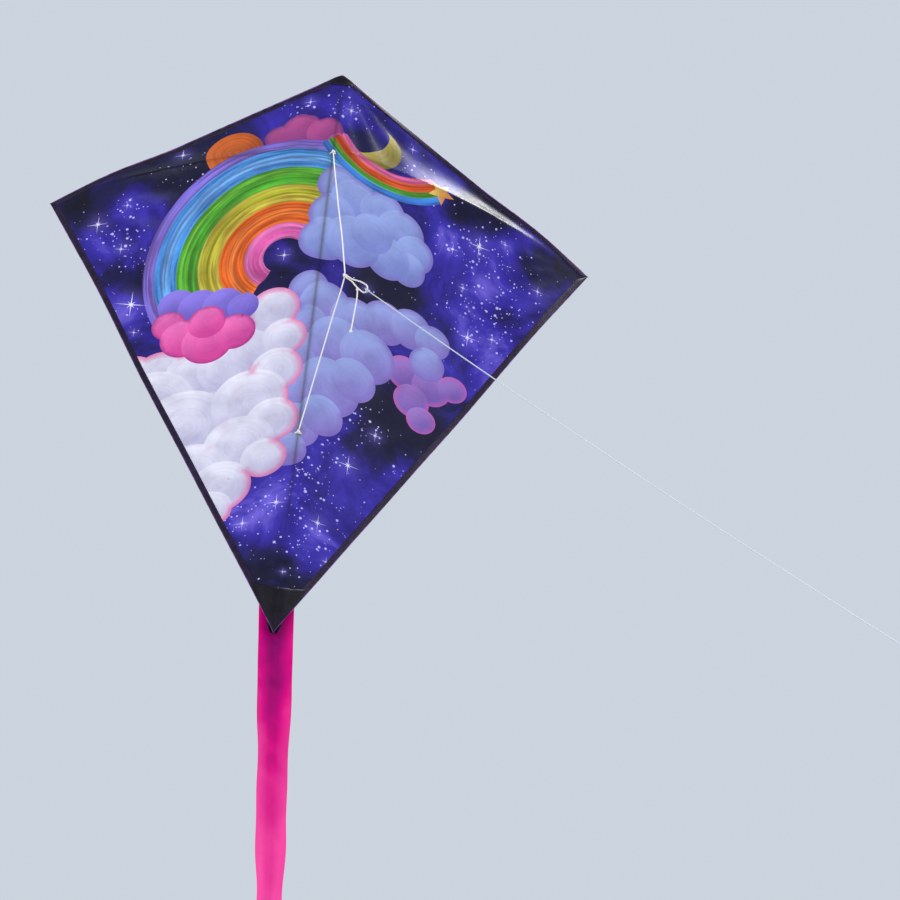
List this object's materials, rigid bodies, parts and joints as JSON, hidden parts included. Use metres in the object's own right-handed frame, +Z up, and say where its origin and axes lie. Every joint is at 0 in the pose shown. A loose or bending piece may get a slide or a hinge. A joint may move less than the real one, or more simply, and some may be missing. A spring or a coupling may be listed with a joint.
{
  "type": "diamond kite",
  "caption": "Single-line diamond kite: a printed cloth sail on a spine and bowed spreaders, with a bridle, a flying line and a long ribbon tail.",
  "frame": {"origin": "where the spine's axis and the two spreaders' axes cross, inside the centre hub", "axes": "+X to the right as the flyer sees the front of the sail, +Y away from the flyer, to the back of the sail, +Z up the spine to the nose"},
  "size_m": [0.87, 1.257, 1.918],
  "materials": {
    "printed_sailcloth": "ripstop sailcloth, printed",
    "binding": "woven binding tape",
    "corner_cloth": "black reinforcing cloth",
    "fibreglass": "pulled fibreglass rod",
    "vinyl": "soft vinyl",
    "cord": "braided polyester cord",
    "ribbon": "thin pink ribbon cloth"
  },
  "bodies": {
    "frame": {"spine_rod": "fibreglass", "nose_cap": "vinyl", "tail_cap": "vinyl", "centre_hub": "vinyl", "sail_spine_strip": "printed_sailcloth", "nose_pocket": "corner_cloth", "tail_pocket": "corner_cloth", "upper_tie_patch": "corner_cloth", "lower_tie_patch": "corner_cloth", "upper_tie": "cord", "lower_tie": "cord", "tail_tab": "corner_cloth", "ribbon_header": "ribbon"},
    "left_wing": {"sail_left": "printed_sailcloth", "upper_binding_left": "binding", "lower_binding_left": "binding", "spreader_left": "fibreglass", "hub_sleeve_left": "vinyl", "tip_cap_left": "vinyl", "tip_pocket_left": "corner_cloth", "tip_patch_left": "corner_cloth", "nose_patch_left": "corner_cloth", "tail_patch_left": "corner_cloth"},
    "right_wing": {"sail_right": "printed_sailcloth", "upper_binding_right": "binding", "lower_binding_right": "binding", "spreader_right": "fibreglass", "hub_sleeve_right": "vinyl", "tip_cap_right": "vinyl", "tip_pocket_right": "corner_cloth", "tip_patch_right": "corner_cloth", "nose_patch_right": "corner_cloth", "tail_patch_right": "corner_cloth"},
    "bridle": {"bridle_upper_leg": "cord", "bridle_lower_leg": "cord", "bridle_knot": "cord"},
    "tow_loop": {"tow_loop": "cord", "tag_knot": "cord"},
    "tag": {"tag_cord": "cord", "tag_stopper": "cord"},
    "line": {"line_hitch": "cord", "flying_line": "cord", "line_end_knot": "cord", "line_end_loop": "cord"},
    "tail_upper": {"ribbon_upper": "ribbon"},
    "tail_middle": {"ribbon_middle": "ribbon"},
    "tail_lower": {"ribbon_lower": "ribbon"}
  },
  "joints": [
    {"name": "right_wing_flex", "type": "hinge", "parent": "frame", "child": "right_wing", "pos_m": [0.008, -0.00256, 0], "axis": [0, 0, 1], "range_deg": [-12, 15], "stiffness_Nm_per_rad": 0.3},
    {"name": "left_wing_flex", "type": "hinge", "parent": "frame", "child": "left_wing", "pos_m": [-0.008, -0.00256, 0], "axis": [0, 0, -1], "range_deg": [-12, 15], "stiffness_Nm_per_rad": 0.3},
    {"name": "bridle_swing", "type": "hinge", "parent": "frame", "child": "bridle", "pos_m": [0, -0.00685, 0], "axis": [0, 0, 1], "range_deg": [-106, 54]},
    {"name": "tow_loop_pitch", "type": "hinge", "parent": "bridle", "child": "tow_loop", "pos_m": [0.03, -0.069, -0.215], "axis": [-0.8991, -0.4378, 0], "range_deg": [-28, 45]},
    {"name": "tag_swing", "type": "hinge", "parent": "tow_loop", "child": "tag", "pos_m": [0.04546, -0.10074, -0.25076], "axis": [1, 0, 0], "range_deg": [-25, 60]},
    {"name": "line_pitch", "type": "hinge", "parent": "tow_loop", "child": "line", "pos_m": [0.05528, -0.12091, -0.26286], "axis": [-0.8991, -0.4378, 0], "range_deg": [-20, 30]},
    {"name": "tail_swing", "type": "hinge", "parent": "frame", "child": "tail_upper", "pos_m": [0, 0.0096, -0.61], "axis": [1, 0, 0], "range_deg": [0, 85]},
    {"name": "tail_middle_bend", "type": "hinge", "parent": "tail_upper", "child": "tail_middle", "pos_m": [0.02349, 0.01948, -0.88], "axis": [0.8447, 0.5352, 0], "range_deg": [-50, 60]},
    {"name": "tail_lower_bend", "type": "hinge", "parent": "tail_middle", "child": "tail_lower", "pos_m": [0.0609, 0.0306, -1.31], "axis": [0.901, 0.4338, 0], "range_deg": [-50, 60]}
  ]
}
